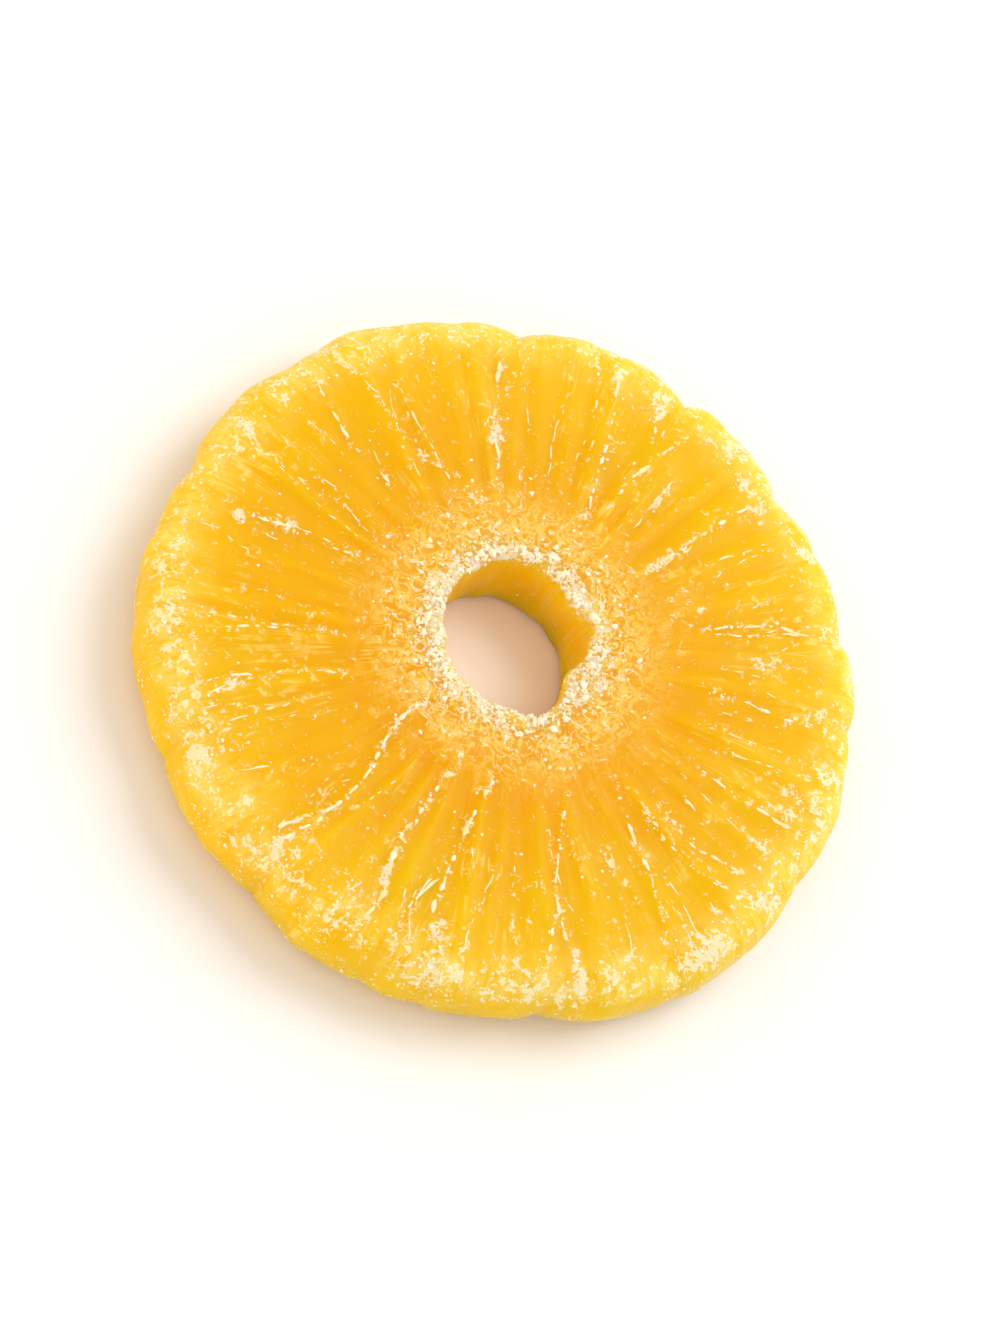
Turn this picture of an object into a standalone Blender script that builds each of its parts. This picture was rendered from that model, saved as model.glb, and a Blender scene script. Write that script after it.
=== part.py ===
"""A candied pineapple ring: one slice across the fruit, cored, candied and dried, lying on its flat side.

Frame: metres, +Z up. The ring rests on z = 0 with the frosted side up, and the origin is at the middle of its
footprint. Angles are in degrees, counted from +X towards +Y. Lengths are in metres.
"""

import math
import random

import bpy
from mathutils import Vector, noise

MM = 0.001

# Driving sizes of the slice
RING_RADIUS = 38.9 * MM
THICKNESS = 9.6 * MM
HOLE_RADIUS = 8.0 * MM
HOLE_CENTRE = (-0.8 * MM, 1.3 * MM)

# Section of the slice: how far the rounded edges reach, and how square they are
RIM_REACH = 4.6 * MM
LIP_REACH = 1.0 * MM
LIP_DROP = 1.2 * MM
RIM_SQUARENESS = 2.4
LIP_SQUARENESS = 2.0

# Number of faces round the ring and along each stretch of the section
STEPS_AROUND = 150
STEPS_TOP = 11
STEPS_RIM = 10
STEPS_BASE = 6
STEPS_LIP = 2
STEPS_WALL = 2

# Lobes left by the fruit's eyes: the angle and radius of each notch, and how far the lobe after it swells
LOBES = (
    (-1, 38.15 * MM, 1.00 * MM),
    (27, 38.10 * MM, 1.15 * MM),
    (42, 38.20 * MM, 0.65 * MM),
    (58, 38.75 * MM, 0.45 * MM),
    (69, 38.05 * MM, 0.75 * MM),
    (82, 39.25 * MM, 0.70 * MM),
    (90, 38.15 * MM, 1.00 * MM),
    (103, 39.25 * MM, 0.90 * MM),
    (120, 37.90 * MM, 0.70 * MM),
    (130, 38.35 * MM, 0.70 * MM),
    (160, 38.50 * MM, 0.75 * MM),
    (186, 38.20 * MM, 0.40 * MM),
    (197, 38.70 * MM, 0.35 * MM),
    (212, 39.10 * MM, 0.60 * MM),
    (234, 38.10 * MM, 1.15 * MM),
    (259, 37.90 * MM, 1.00 * MM),
    (280, 38.60 * MM, 0.45 * MM),
    (289, 38.75 * MM, 0.25 * MM),
    (309, 37.95 * MM, 0.75 * MM),
    (331, 39.10 * MM, 0.85 * MM),
)
LOBE_FULLNESS = 0.75
LOBES_START = 21.5 * MM

# Dents and bulges of the hole's upper lip: angle, reach outwards and half width in degrees
LIP_BUMPS = (
    (2, -1.3 * MM, 13),
    (45, 0.9 * MM, 13),
    (68, -0.8 * MM, 12),
    (122, 0.55 * MM, 26),
    (218, -0.5 * MM, 20),
    (318, 0.9 * MM, 20),
)
LIP_BUMPS_RISE = (0.35, 1.0)
LIP_CRUMBLE = 0.30 * MM
LIP_CRUMB_SIZE = 2.2 * MM
LIP_ENDS = 19.0 * MM

# Bundles of fibre that stand up between the glassy wedges of flesh
BUNDLE_SEED = 11
BUNDLE_SPACING = 8.5
BUNDLE_UNEVENNESS = (0.6, 1.4)
BUNDLE_HEIGHT = (0.10 * MM, 0.40 * MM)
BUNDLE_WIDTH = (1.6, 3.2)
BUNDLE_LEAN = 5.0
BUNDLE_START = 13.5 * MM
BUNDLE_FULL = 20.0 * MM
BUNDLE_SHARE_AT_RIM = 0.4
WEDGE_SAG = 0.25 * MM

# Crags of the sugared core zone round the hole, the crust's collar at its lip, and dents of the rim
CORE_ZONE = 16.5 * MM
CORE_EDGE = 4.0 * MM
CRAG_HEIGHT = 0.32 * MM
CRAG_SIZE = 3.2 * MM
COLLAR_HEIGHT = 0.30 * MM
COLLAR_WIDTH = 3.0 * MM
RIM_DENT = 0.45 * MM
RIM_DENT_SIZE = 5.0 * MM

# Underside: furrows and pits between the parts that lay flat on the drying tray
FURROW_DEPTH = 0.7 * MM
FURROW_WAVES = 7.0
FURROW_LENGTH = 14.0 * MM
PIT_DEPTH = 0.6 * MM
PIT_SIZE = 4.0 * MM
TRAY_BAND = (21.0 * MM, 28.0 * MM)
TRAY_BAND_EDGE = 3.0 * MM

# Shares of the thickness over which the upper face's relief sets in and the underside's dies out
UPPER_RELIEF_RISE = (0.5, 0.95)
BASE_RELIEF_FALL = (0.02, 0.35)

MERGE_DISTANCE = 0.00001
FLESH_COLOUR = (0.95, 0.50, 0.02, 1.0)
FLESH_ROUGHNESS = 0.35
SHARP_ANGLE = math.radians(40)


def smooth_step(low, high, value):
    """Rises smoothly from 0 at low to 1 at high."""
    share = min(1.0, max(0.0, (value - low) / (high - low)))
    return share * share * (3.0 - 2.0 * share)


def turn_between(angle, centre):
    """The signed angle in degrees from centre to angle, the short way round."""
    return (angle - centre + 180.0) % 360.0 - 180.0


def clear_scene():
    for obj in list(bpy.data.objects):
        bpy.data.objects.remove(obj)


def superellipse_arc(centre, reach, start, end, steps, squareness):
    """Points of a rounded corner, from the start to the end angle in degrees, without its last point."""
    points = []
    for step in range(steps):
        angle = math.radians(start + (end - start) * step / steps)
        across = abs(math.cos(angle)) ** (2.0 / squareness) * math.copysign(1.0, math.cos(angle))
        up = abs(math.sin(angle)) ** (2.0 / squareness) * math.copysign(1.0, math.sin(angle))
        points.append((centre[0] + reach[0] * across, centre[1] + reach[1] * up))
    return points


def straight(start, end, steps):
    """Evenly spaced points from start towards end, without the end."""
    return [
        tuple(a + (b - a) * step / steps for a, b in zip(start, end))
        for step in range(steps)
    ]


def section_profile():
    """The closed section at +X as (radius, height), down its outer side and up the hole's wall."""
    half = THICKNESS / 2.0
    rim_at = RING_RADIUS - RIM_REACH
    lip_at = HOLE_RADIUS + LIP_REACH
    rim, lip = (RIM_REACH, half), (LIP_REACH, LIP_DROP)
    upper, lower = THICKNESS - LIP_DROP, LIP_DROP
    return (
        straight((lip_at, THICKNESS), (rim_at, THICKNESS), STEPS_TOP)
        + superellipse_arc((rim_at, half), rim, 90, -90, STEPS_RIM, RIM_SQUARENESS)
        + straight((rim_at, 0.0), (lip_at, 0.0), STEPS_BASE)
        + superellipse_arc((lip_at, lower), lip, 270, 180, STEPS_LIP, LIP_SQUARENESS)
        + straight((HOLE_RADIUS, lower), (HOLE_RADIUS, upper), STEPS_WALL)
        + superellipse_arc((lip_at, upper), lip, 180, 90, STEPS_LIP, LIP_SQUARENESS)
    )


def turned_blank():
    """The plain round slice: the section turned about Z by a Screw modifier, as a mesh."""
    points = [(radius, 0.0, height) for radius, height in section_profile()]
    edges = [(i, (i + 1) % len(points)) for i in range(len(points))]
    mesh = bpy.data.meshes.new("section")
    mesh.from_pydata(points, edges, [])
    section = bpy.data.objects.new("section", mesh)
    bpy.context.scene.collection.objects.link(section)

    screw = section.modifiers.new("turn", "SCREW")
    screw.axis = "Z"
    screw.angle = math.tau
    screw.steps = STEPS_AROUND
    screw.render_steps = STEPS_AROUND
    screw.use_merge_vertices = True
    screw.merge_threshold = MERGE_DISTANCE

    turned = section.evaluated_get(bpy.context.evaluated_depsgraph_get())
    blank = bpy.data.meshes.new_from_object(turned)
    bpy.data.objects.remove(section)
    return blank


def outline_radius(angle):
    """Radius of the lobed outline at an angle."""
    count = len(LOBES)
    for index, (start, notch, swell) in enumerate(LOBES):
        following = LOBES[(index + 1) % count]
        width = (following[0] - start) % 360.0
        along = (angle - start) % 360.0
        if along < width:
            share = along / width
            chord = notch + (following[1] - notch) * share
            return chord + swell * math.sin(math.pi * share) ** LOBE_FULLNESS
    return RING_RADIUS


def lip_shift(angle, height):
    """How far the hole's wall moves outwards at an angle: bumps at the upper lip that fade towards the base."""
    bumps = sum(
        reach * math.exp(-((turn_between(angle, at) / half_width) ** 2))
        for at, reach, half_width in LIP_BUMPS
    )
    turn = math.radians(angle)
    around = Vector((math.cos(turn), math.sin(turn), 0.0)) * (HOLE_RADIUS / LIP_CRUMB_SIZE)
    around.z = height / LIP_CRUMB_SIZE
    risen = smooth_step(*LIP_BUMPS_RISE, height / THICKNESS)
    return bumps * risen + LIP_CRUMBLE * noise.noise(around)


def fibre_bundles():
    """The ridges of the upper face, each as (angle, height, half width in degrees, lean in degrees)."""
    rng = random.Random(BUNDLE_SEED)
    bundles = []
    angle = 0.0
    while angle < 360.0 - BUNDLE_SPACING / 2.0:
        bundles.append((
            angle,
            rng.uniform(*BUNDLE_HEIGHT),
            rng.uniform(*BUNDLE_WIDTH),
            rng.uniform(-BUNDLE_LEAN, BUNDLE_LEAN),
        ))
        angle += BUNDLE_SPACING * rng.uniform(*BUNDLE_UNEVENNESS)
    return bundles


def bundle_relief(angle, radius, bundles):
    """Height of the fibre ridges above the glassy wedges that sag between them."""
    grown = smooth_step(BUNDLE_START, BUNDLE_FULL, radius)
    outwards = (radius - BUNDLE_START) / (RING_RADIUS - BUNDLE_START)
    ridge = 0.0
    for at, height, half_width, lean in bundles:
        away = turn_between(angle, at + lean * outwards) / half_width
        ridge = max(ridge, height * math.exp(-away * away))
    return grown * (ridge - WEDGE_SAG)


def crag_relief(x, y):
    """Lumps of the sugared core zone, which fade out into the flesh, and the crust's collar at the lip."""
    from_hole = math.hypot(x - HOLE_CENTRE[0], y - HOLE_CENTRE[1]) - HOLE_RADIUS
    core = 1.0 - smooth_step(CORE_ZONE - CORE_EDGE, CORE_ZONE + CORE_EDGE, math.hypot(x, y))
    collar = COLLAR_HEIGHT * (1.0 - smooth_step(0.0, COLLAR_WIDTH, from_hole))
    return collar + CRAG_HEIGHT * core * noise.noise(Vector((x, y, 0.0)) / CRAG_SIZE)


def base_relief(x, y, angle, radius):
    """Depth of the underside's pits and furrows, none in the band that lay flat on its tray."""
    turn = math.radians(angle)
    across = Vector((math.cos(turn), math.sin(turn), 0.0)) * FURROW_WAVES
    across.z = radius / FURROW_LENGTH
    inside = 1.0 - smooth_step(TRAY_BAND[0] - TRAY_BAND_EDGE, TRAY_BAND[0], radius)
    outside = smooth_step(TRAY_BAND[1], TRAY_BAND[1] + TRAY_BAND_EDGE, radius)
    pits = PIT_DEPTH * inside * noise.noise(Vector((x, y, PIT_SIZE)) / PIT_SIZE)
    furrows = FURROW_DEPTH * outside * noise.noise(across)
    return max(0.0, pits, furrows)


def shaped_point(point, bundles):
    """Where a point of the plain slice goes on the lobed and ridged one."""
    radius = math.hypot(point.x, point.y)
    angle = math.degrees(math.atan2(point.y, point.x))
    share = point.z / THICKNESS

    to_rim = smooth_step(LOBES_START, RING_RADIUS - RIM_REACH, radius)
    to_hole = 1.0 - smooth_step(HOLE_RADIUS, LIP_ENDS, radius)
    relief = bundle_relief(angle, radius, bundles)
    dent = RIM_DENT * noise.noise(point / RIM_DENT_SIZE) + BUNDLE_SHARE_AT_RIM * relief
    grown = radius + to_rim * (outline_radius(angle) - RING_RADIUS + dent)
    grown += to_hole * lip_shift(angle, point.z)

    turn = math.radians(angle)
    x = grown * math.cos(turn) + to_hole * HOLE_CENTRE[0]
    y = grown * math.sin(turn) + to_hole * HOLE_CENTRE[1]
    upper = smooth_step(*UPPER_RELIEF_RISE, share)
    lower = 1.0 - smooth_step(*BASE_RELIEF_FALL, share)
    lift = upper * (relief + crag_relief(x, y)) + lower * base_relief(x, y, angle, radius)
    return Vector((x, y, point.z + lift))


def shape_slice(blank):
    """Moves the plain slice's points onto the real form, then centres the footprint on the origin."""
    bundles = fibre_bundles()
    for vertex in blank.vertices:
        vertex.co = shaped_point(vertex.co, bundles)
    for axis in (0, 1):
        places = [vertex.co[axis] for vertex in blank.vertices]
        middle = (min(places) + max(places)) / 2.0
        for vertex in blank.vertices:
            vertex.co[axis] -= middle


def flesh_material():
    """Glassy yellow-orange candied flesh."""
    material = bpy.data.materials.new("candied_pineapple")
    material.use_nodes = True
    shader = material.node_tree.nodes["Principled BSDF"]
    shader.inputs["Base Color"].default_value = FLESH_COLOUR
    shader.inputs["Roughness"].default_value = FLESH_ROUGHNESS
    shader.inputs["Metallic"].default_value = 0.0
    return material


def main():
    clear_scene()
    collection = bpy.data.collections.new("candied_pineapple")
    bpy.context.scene.collection.children.link(collection)

    mesh = turned_blank()
    mesh.name = "pineapple_ring"
    shape_slice(mesh)
    mesh.shade_smooth()
    mesh.set_sharp_from_angle(angle=SHARP_ANGLE)
    mesh.materials.clear()
    mesh.materials.append(flesh_material())
    ring = bpy.data.objects.new("pineapple_ring", mesh)
    collection.objects.link(ring)


main()
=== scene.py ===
"""Dresses a candied pineapple ring: glassy flesh, fibres, sugar and its studio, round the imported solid.

Lengths are in metres and angles in degrees, counted from +X towards +Y. The ring lies on z = 0 with its
sugared side up.
"""

import logging
import math
import random
from dataclasses import dataclass, field
from enum import Enum

import bmesh
import bpy
import numpy as np
from mathutils import Matrix, Vector, noise
from mathutils.bvhtree import BVHTree
from mathutils.kdtree import KDTree


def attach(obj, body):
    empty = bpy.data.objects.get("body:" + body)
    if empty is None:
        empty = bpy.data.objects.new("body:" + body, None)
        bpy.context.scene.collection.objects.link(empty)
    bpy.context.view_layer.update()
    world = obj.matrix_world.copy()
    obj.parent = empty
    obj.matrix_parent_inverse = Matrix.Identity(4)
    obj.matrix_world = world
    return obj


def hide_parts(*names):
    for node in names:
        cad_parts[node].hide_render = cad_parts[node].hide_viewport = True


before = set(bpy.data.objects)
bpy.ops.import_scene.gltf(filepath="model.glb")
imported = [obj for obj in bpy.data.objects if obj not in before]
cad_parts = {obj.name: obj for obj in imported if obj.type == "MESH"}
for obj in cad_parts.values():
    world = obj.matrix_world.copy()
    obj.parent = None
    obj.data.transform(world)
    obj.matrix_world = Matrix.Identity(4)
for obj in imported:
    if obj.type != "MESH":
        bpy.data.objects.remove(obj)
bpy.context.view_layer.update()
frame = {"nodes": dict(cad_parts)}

LOG = logging.getLogger("candied_pineapple")
MM = 0.001
RING_NODE = "pineapple_ring"
BODY = "root"

Colour = tuple[float, float, float]
Polar = tuple[float, float]


def smooth_step(low: float, high: float, value: np.ndarray | float) -> np.ndarray:
    """Rises smoothly from 0 at low to 1 at high.

    Args:
        low: Where the rise starts.
        high: Where it ends.
        value: The values to judge.

    Returns:
        A share between 0 and 1 for each value.
    """
    share = np.clip((np.asarray(value, float) - low) / (high - low), 0.0, 1.0)
    return share * share * (3.0 - 2.0 * share)


class Pattern(Enum):
    """Patterns of noise, each named by what it shapes, with the shift that keeps it apart from the others."""

    FORM = 0.0
    CLOUDS = 1.2
    STREAKS = 1.7
    THREAD_LUMPS = 2.2
    CRUMBS = 2.9
    SWAY_X = 3.1
    CLUMPS = 3.7
    GRIT = 4.4
    CRUST = 5.3
    WISPS = 6.6
    SWAY_Y = 7.7
    RAGS = 8.8
    DIMPLES = 9.1


def noise_at(points: np.ndarray, size: float, pattern: Pattern = Pattern.FORM) -> np.ndarray:
    """Smooth noise at many places.

    Args:
        points: Places in metres, one row each.
        size: Width of a lump in metres.
        pattern: Which pattern is read.

    Returns:
        About -1 to 1 for each place.
    """
    return np.array([noise.noise(place) for place in (points / size + pattern.value).tolist()])


def polar_of(points: np.ndarray) -> tuple[np.ndarray, np.ndarray]:
    """Splits places into their angles and radii.

    Args:
        points: Places in metres, one row each.

    Returns:
        The angles in degrees and the radii in metres.
    """
    angles = np.degrees(np.arctan2(points[:, 1], points[:, 0]))
    return angles, np.hypot(points[:, 0], points[:, 1])


def turn_between(angles: np.ndarray, centre: float) -> np.ndarray:
    """The signed angles in degrees from centre, the short way round."""
    return (angles - centre + 180.0) % 360.0 - 180.0


@dataclass(frozen=True)
class Lobe:
    """A swelling of the outline, left by an eye of the fruit: where its notch is, and how far it swells."""

    angle: float
    notch: float
    swell: float


@dataclass(frozen=True)
class LipBump:
    """A dent or bulge of the hole's upper lip."""

    angle: float
    reach: float
    half_width: float


@dataclass(frozen=True)
class Bundle:
    """A ridge of fibres on the upper face."""

    angle: float
    height: float
    half_width: float
    lean: float


LOBES = (
    Lobe(-1, 38.15 * MM, 1.00 * MM),
    Lobe(27, 38.10 * MM, 1.15 * MM),
    Lobe(42, 38.20 * MM, 0.65 * MM),
    Lobe(58, 38.75 * MM, 0.45 * MM),
    Lobe(69, 38.05 * MM, 0.75 * MM),
    Lobe(82, 39.25 * MM, 0.70 * MM),
    Lobe(90, 38.15 * MM, 1.00 * MM),
    Lobe(103, 39.25 * MM, 0.90 * MM),
    Lobe(120, 37.90 * MM, 0.70 * MM),
    Lobe(130, 38.35 * MM, 0.70 * MM),
    Lobe(160, 38.50 * MM, 0.75 * MM),
    Lobe(186, 38.20 * MM, 0.40 * MM),
    Lobe(197, 38.70 * MM, 0.35 * MM),
    Lobe(212, 39.10 * MM, 0.60 * MM),
    Lobe(234, 38.10 * MM, 1.15 * MM),
    Lobe(259, 37.90 * MM, 1.00 * MM),
    Lobe(280, 38.60 * MM, 0.45 * MM),
    Lobe(289, 38.75 * MM, 0.25 * MM),
    Lobe(309, 37.95 * MM, 0.75 * MM),
    Lobe(331, 39.10 * MM, 0.85 * MM),
)
LIP_BUMPS = (
    LipBump(2, -1.3 * MM, 13),
    LipBump(45, 0.9 * MM, 13),
    LipBump(68, -0.8 * MM, 12),
    LipBump(122, 0.55 * MM, 26),
    LipBump(218, -0.5 * MM, 20),
    LipBump(318, 0.9 * MM, 20),
)


@dataclass(frozen=True)
class SliceForm:
    """The slice's own form, with the same driving sizes as the solid that it replaces."""

    ring_radius: float = 38.9 * MM
    thickness: float = 9.6 * MM
    hole_radius: float = 8.0 * MM
    hole_centre: tuple[float, float] = (-0.8 * MM, 1.3 * MM)
    rim_reach: float = 4.6 * MM
    rim_squareness: float = 2.4
    lip_reach: float = 1.0 * MM
    lip_drop: float = 1.2 * MM
    lobe_fullness: float = 0.75
    lobes_start: float = 21.5 * MM
    lip_rise: tuple[float, float] = (0.35, 1.0)
    lip_crumble: float = 0.30 * MM
    lip_crumb: float = 2.2 * MM
    lip_ends: float = 19.0 * MM
    bundle_seed: int = 11
    bundle_spacing: float = 8.5
    bundle_unevenness: tuple[float, float] = (0.6, 1.4)
    bundle_height: tuple[float, float] = (0.10 * MM, 0.40 * MM)
    bundle_width: tuple[float, float] = (1.6, 3.2)
    bundle_lean: float = 5.0
    bundle_start: float = 13.5 * MM
    bundle_full: float = 20.0 * MM
    bundle_share_at_rim: float = 0.4
    wedge_sag: float = 0.25 * MM
    core_zone: float = 16.5 * MM
    core_edge: float = 4.0 * MM
    crag_height: float = 0.32 * MM
    crag_size: float = 3.2 * MM
    collar_height: float = 0.30 * MM
    collar_width: float = 3.0 * MM
    rim_dent: float = 0.45 * MM
    rim_dent_size: float = 5.0 * MM
    furrow_depth: float = 0.7 * MM
    furrow_waves: float = 7.0
    furrow_length: float = 14.0 * MM
    pit_depth: float = 0.6 * MM
    pit_size: float = 4.0 * MM
    tray_band: tuple[float, float] = (21.0 * MM, 28.0 * MM)
    tray_band_edge: float = 3.0 * MM
    upper_rise: tuple[float, float] = (0.5, 0.95)
    base_fall: tuple[float, float] = (0.02, 0.35)

    def bundles(self) -> list[Bundle]:
        """Draws the fibre ridges of the upper face.

        Returns:
            The ridges, in order round the ring.
        """
        rng = random.Random(self.bundle_seed)
        drawn = []
        angle = 0.0
        while angle < 360.0 - self.bundle_spacing / 2.0:
            height, width = rng.uniform(*self.bundle_height), rng.uniform(*self.bundle_width)
            drawn.append(Bundle(angle, height, width, rng.uniform(-self.bundle_lean, self.bundle_lean)))
            angle += self.bundle_spacing * rng.uniform(*self.bundle_unevenness)
        return drawn

    def outline(self, angles: np.ndarray) -> np.ndarray:
        """Radius of the lobed outline.

        Args:
            angles: Angles in degrees.

        Returns:
            A radius in metres for each angle.
        """
        starts = np.array([lobe.angle for lobe in LOBES], float)
        notches = np.array([lobe.notch for lobe in LOBES])
        swells = np.array([lobe.swell for lobe in LOBES])
        widths = (np.roll(starts, -1) - starts) % 360.0
        along = (angles - starts[0]) % 360.0
        index = np.searchsorted(starts - starts[0], along, side="right") - 1
        share = (along - (starts - starts[0])[index]) / widths[index]
        chord = notches[index] + (np.roll(notches, -1)[index] - notches[index]) * share
        return chord + swells[index] * np.sin(np.pi * share) ** self.lobe_fullness

    def lip_shift(self, angles: np.ndarray, heights: np.ndarray) -> np.ndarray:
        """How far the hole's wall moves outwards.

        Args:
            angles: Angles in degrees.
            heights: Heights in metres.

        Returns:
            A shift in metres for each place.
        """
        bumps = sum(b.reach * np.exp(-((turn_between(angles, b.angle) / b.half_width) ** 2)) for b in LIP_BUMPS)
        turns = np.radians(angles)
        around = np.stack((np.cos(turns), np.sin(turns), heights / self.hole_radius), axis=1) * self.hole_radius
        risen = smooth_step(*self.lip_rise, heights / self.thickness)
        return bumps * risen + self.lip_crumble * noise_at(around, self.lip_crumb)

    def bundle_relief(self, angles: np.ndarray, radii: np.ndarray) -> np.ndarray:
        """Height of the fibre ridges above the wedges that sag between them.

        Args:
            angles: Angles in degrees.
            radii: Radii in metres.

        Returns:
            A height in metres for each place.
        """
        outwards = (radii - self.bundle_start) / (self.ring_radius - self.bundle_start)
        ridge = np.zeros_like(radii)
        for bundle in self.bundles():
            away = turn_between(angles - bundle.lean * outwards, bundle.angle) / bundle.half_width
            ridge = np.maximum(ridge, bundle.height * np.exp(-away * away))
        return smooth_step(self.bundle_start, self.bundle_full, radii) * (ridge - self.wedge_sag)

    def crag_relief(self, points: np.ndarray) -> np.ndarray:
        """Lumps of the sugared core zone and the crust's collar at the lip.

        Args:
            points: Places in metres, one row each.

        Returns:
            A height in metres for each place.
        """
        flat = points * (1.0, 1.0, 0.0)
        from_hole = np.hypot(*(points[:, :2] - self.hole_centre).T) - self.hole_radius
        edges = self.core_zone - self.core_edge, self.core_zone + self.core_edge
        core = 1.0 - smooth_step(*edges, np.hypot(*points[:, :2].T))
        collar = self.collar_height * (1.0 - smooth_step(0.0, self.collar_width, from_hole))
        return collar + self.crag_height * core * noise_at(flat, self.crag_size)

    def base_relief(self, points: np.ndarray, angles: np.ndarray, radii: np.ndarray) -> np.ndarray:
        """Depth of the underside's pits and furrows, none in the band that lay flat on its tray.

        Args:
            points: Places in metres, one row each.
            angles: Their angles in degrees on the plain slice.
            radii: Their radii in metres on the plain slice.

        Returns:
            A depth in metres for each place.
        """
        turns = np.radians(angles)
        across = np.stack((np.cos(turns), np.sin(turns), np.zeros_like(turns)), axis=1) * self.furrow_waves
        across[:, 2] = radii / self.furrow_length
        inside = 1.0 - smooth_step(self.tray_band[0] - self.tray_band_edge, self.tray_band[0], radii)
        outside = smooth_step(self.tray_band[1], self.tray_band[1] + self.tray_band_edge, radii)
        flat = points * (1.0, 1.0, 0.0) + (0.0, 0.0, self.pit_size)
        pits = self.pit_depth * inside * noise_at(flat, self.pit_size)
        furrows = self.furrow_depth * outside * noise_at(across, 1.0)
        return np.maximum(0.0, np.maximum(pits, furrows))

    def shaped(self, points: np.ndarray) -> np.ndarray:
        """Moves places of the plain turned slice onto the lobed and ridged one.

        Args:
            points: Places on the plain slice in metres, one row each.

        Returns:
            The same places on the real form.
        """
        angles, radii = polar_of(points)
        heights = points[:, 2]
        to_rim = smooth_step(self.lobes_start, self.ring_radius - self.rim_reach, radii)
        to_hole = 1.0 - smooth_step(self.hole_radius, self.lip_ends, radii)
        relief = self.bundle_relief(angles, radii)
        dent = self.rim_dent * noise_at(points, self.rim_dent_size) + self.bundle_share_at_rim * relief
        grown = radii + to_rim * (self.outline(angles) - self.ring_radius + dent)
        grown += to_hole * self.lip_shift(angles, heights)
        turns = np.radians(angles)
        moved = np.stack((grown * np.cos(turns), grown * np.sin(turns), heights), axis=1)
        moved[:, 0] += to_hole * self.hole_centre[0]
        moved[:, 1] += to_hole * self.hole_centre[1]
        share = heights / self.thickness
        upper = smooth_step(*self.upper_rise, share)
        lower = 1.0 - smooth_step(*self.base_fall, share)
        moved[:, 2] += upper * (relief + self.crag_relief(moved))
        moved[:, 2] += lower * self.base_relief(moved, angles, radii)
        return moved


class Face(Enum):
    """The faces of the slice that fibres and sugar lie on."""

    UPPER = "upper"
    LOWER = "lower"


@dataclass(frozen=True)
class Fibre:
    """A thread of fibre on a face: its route as (angle, radius in mm), half thickness and share of sugar."""

    route: tuple[Polar, ...]
    thickness: float = 0.16 * MM
    sugar: float = 0.6
    face: Face = Face.UPPER


@dataclass(frozen=True)
class Patch:
    """A white patch of sugar on the upper face: its middle, length along the radius and width across it."""

    angle: float
    radius: float
    length: float
    width: float
    strength: float = 1.0


UPPER_FIBRES = (
    Fibre(((249, 11.5), (250, 16), (256, 21), (258, 25), (257.5, 31.5), (255, 37)), 0.20 * MM, 0.9),
    Fibre(((257, 29.5), (253.5, 35.5)), 0.18 * MM, 0.8),
    Fibre(((227, 38.5), (225, 31), (226, 27.5), (224, 24))),
    Fibre(((234, 38), (233.5, 30), (233, 21.5)), 0.12 * MM, 0.4),
    Fibre(((277.5, 13.5), (274.5, 21.5), (273.5, 26), (276, 32), (275, 36)), 0.24 * MM, 0.9),
    Fibre(((295, 14), (289, 19), (286.5, 26), (286, 31.5), (289, 35)), 0.22 * MM, 0.9),
    Fibre(((286, 26.5), (282, 31), (280, 36)), 0.12 * MM, 0.5),
    Fibre(((322, 16.5), (315.5, 21), (311.5, 27.5), (313.5, 37)), 0.18 * MM, 0.8),
    Fibre(((311.5, 27.5), (307.5, 34.5), (306, 37.5)), 0.18 * MM, 0.8),
    Fibre(((342, 16), (337.5, 20.5), (334.5, 26.5), (331.5, 34))),
    Fibre(((343.5, 19), (343, 27.5), (346.5, 34), (350, 37)), 0.16 * MM, 0.7),
    Fibre(((349, 21), (347, 27), (351, 33))),
    Fibre(((5, 21), (3.5, 29), (4, 35.5), (7, 37.5)), 0.18 * MM, 0.7),
    Fibre(((27.5, 21), (25, 29.5), (24, 35.5))),
    Fibre(((46.5, 20), (45, 29), (42, 35), (43, 38))),
    Fibre(((68.5, 19), (69.5, 27.5), (69.5, 36)), 0.18 * MM, 0.7),
    Fibre(((91, 19.5), (91, 24), (89.5, 27), (86, 35)), 0.18 * MM, 0.8),
    Fibre(((89.5, 27), (93.5, 35), (92, 38)), 0.16 * MM, 0.7),
    Fibre(((96, 18), (98.5, 23.5), (100, 28.5), (103, 36)), 0.18 * MM, 0.6),
    Fibre(((128, 18), (126.5, 23), (127, 26), (124, 35)), 0.20 * MM, 0.8),
    Fibre(((136, 17), (141, 20.5), (148, 23), (146, 30))),
    Fibre(((159, 19), (162, 28), (160, 37)), 0.14 * MM, 0.4),
    Fibre(((178, 25), (177.5, 33), (175.5, 37)), 0.16 * MM, 0.7),
    Fibre(((177.5, 33), (181, 35.5), (186, 37))),
    Fibre(((186, 18), (188, 22), (189, 27), (191.5, 32))),
    Fibre(((214, 22), (213, 30.5), (212.5, 38)), 0.14 * MM, 0.4),
)
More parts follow.
